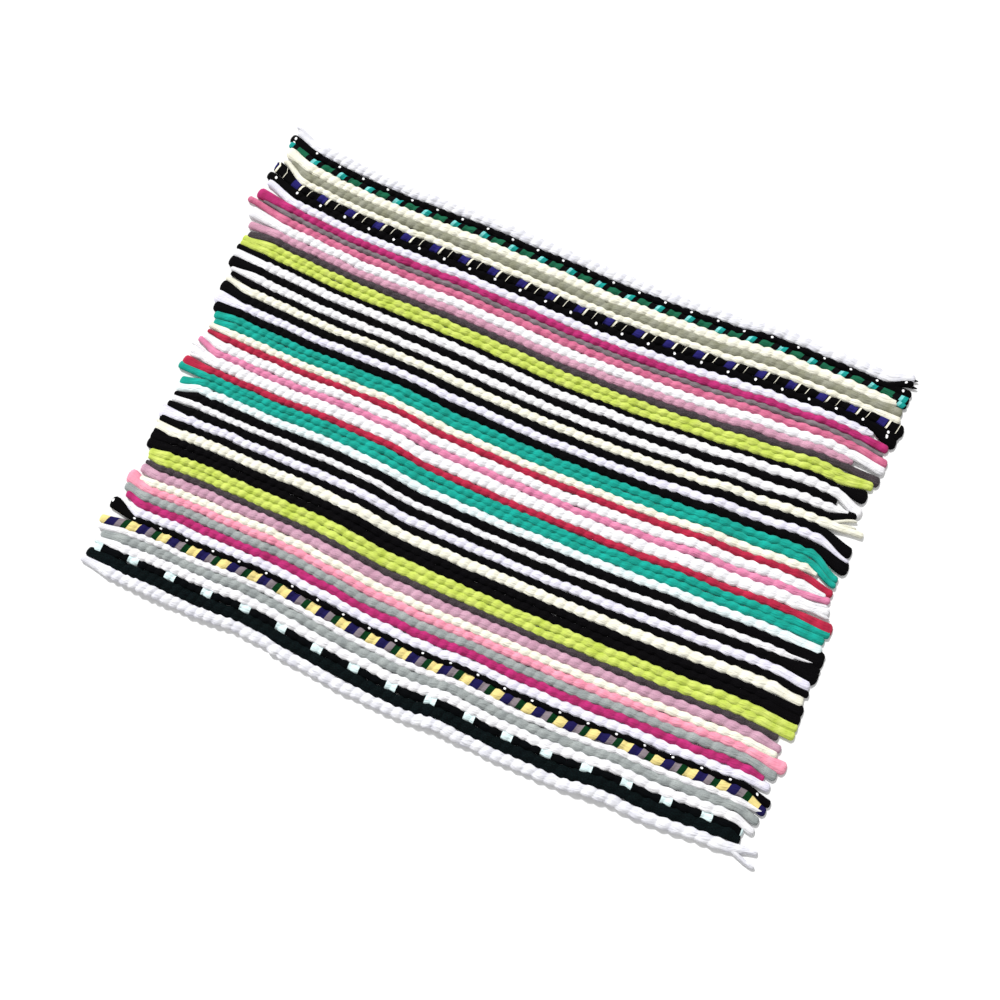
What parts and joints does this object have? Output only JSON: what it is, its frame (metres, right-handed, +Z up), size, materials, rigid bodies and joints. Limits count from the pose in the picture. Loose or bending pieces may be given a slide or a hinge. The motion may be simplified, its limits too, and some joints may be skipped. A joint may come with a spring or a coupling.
{
  "type": "rag rug",
  "caption": "Hand-woven rag rug of cotton jersey strips in stripes of black, white, lime, teal, pink and grey, lying flat",
  "frame": {"origin": "on the floor, under the middle of the rug's overall length and width", "axes": "+X along the rag strips, which is the rug's long side, +Y across the stripes to the far edge, +Z up from the floor"},
  "size_m": [0.923, 0.6612, 0.0133],
  "materials": {
    "rag_strips": "matte woven cotton jersey strips",
    "warp_thread": "matte cotton thread"
  },
  "bodies": {
    "root": {"woven_field": "rag_strips", "left_loops": "rag_strips", "right_loops": "rag_strips"}
  },
  "joints": []
}
